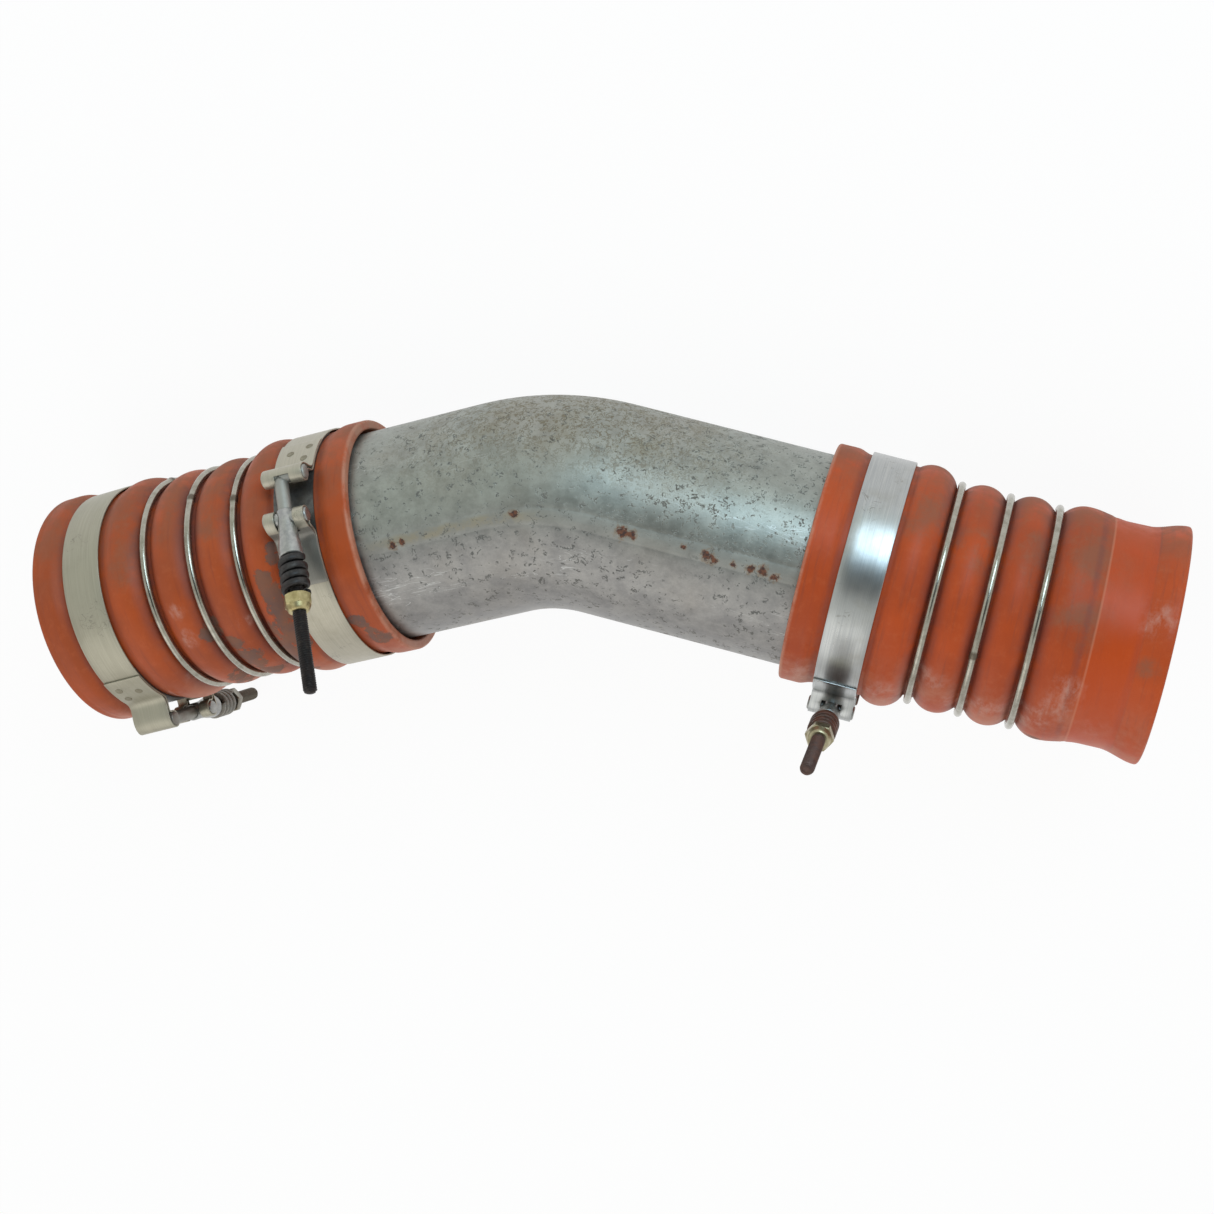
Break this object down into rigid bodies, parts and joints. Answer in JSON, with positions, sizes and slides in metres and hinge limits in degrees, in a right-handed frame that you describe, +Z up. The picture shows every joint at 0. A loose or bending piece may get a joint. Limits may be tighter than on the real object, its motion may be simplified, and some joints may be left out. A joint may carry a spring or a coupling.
{
  "type": "charge air cooler pipe",
  "caption": "Bent steel charge air pipe with an orange humped silicone boot on each end, wire rings and spring-loaded T-bolt clamps; joins a turbocharger to a charge air cooler.",
  "frame": {"origin": "centre of the bounding box on the floor", "axes": "+X from the left boot to the right boot, +Z up as the pipe lies on its side, +Y towards the bend's crown"},
  "size_m": [0.485, 0.1741, 0.1541],
  "materials": {
    "galvanised_tube": "satin",
    "silicone": "satin",
    "ring_wire": "satin",
    "band_steel": "satin",
    "bolt_steel": "matte",
    "spring_steel": "matte",
    "yellow_zinc": "satin"
  },
  "bodies": {
    "root": {"charge_pipe": "galvanised_tube", "left_boot": "silicone", "right_boot": "silicone", "left_inner_ring": "ring_wire", "left_middle_ring": "ring_wire", "left_outer_ring": "ring_wire", "right_inner_ring": "ring_wire", "right_middle_ring": "ring_wire", "right_outer_ring": "ring_wire", "left_inner_band": "band_steel", "left_inner_bridge": "band_steel", "left_inner_t_bolt": "bolt_steel", "left_inner_trunnion": "bolt_steel", "left_inner_spring": "spring_steel", "left_inner_lock_nut": "yellow_zinc", "left_outer_band": "band_steel", "left_outer_bridge": "band_steel", "left_outer_t_bolt": "bolt_steel", "left_outer_trunnion": "bolt_steel", "left_outer_spring": "spring_steel", "left_outer_lock_nut": "yellow_zinc", "right_inner_band": "band_steel", "right_inner_bridge": "band_steel", "right_inner_t_bolt": "bolt_steel", "right_inner_trunnion": "bolt_steel", "right_inner_spring": "spring_steel", "right_inner_lock_nut": "yellow_zinc"}
  },
  "joints": []
}
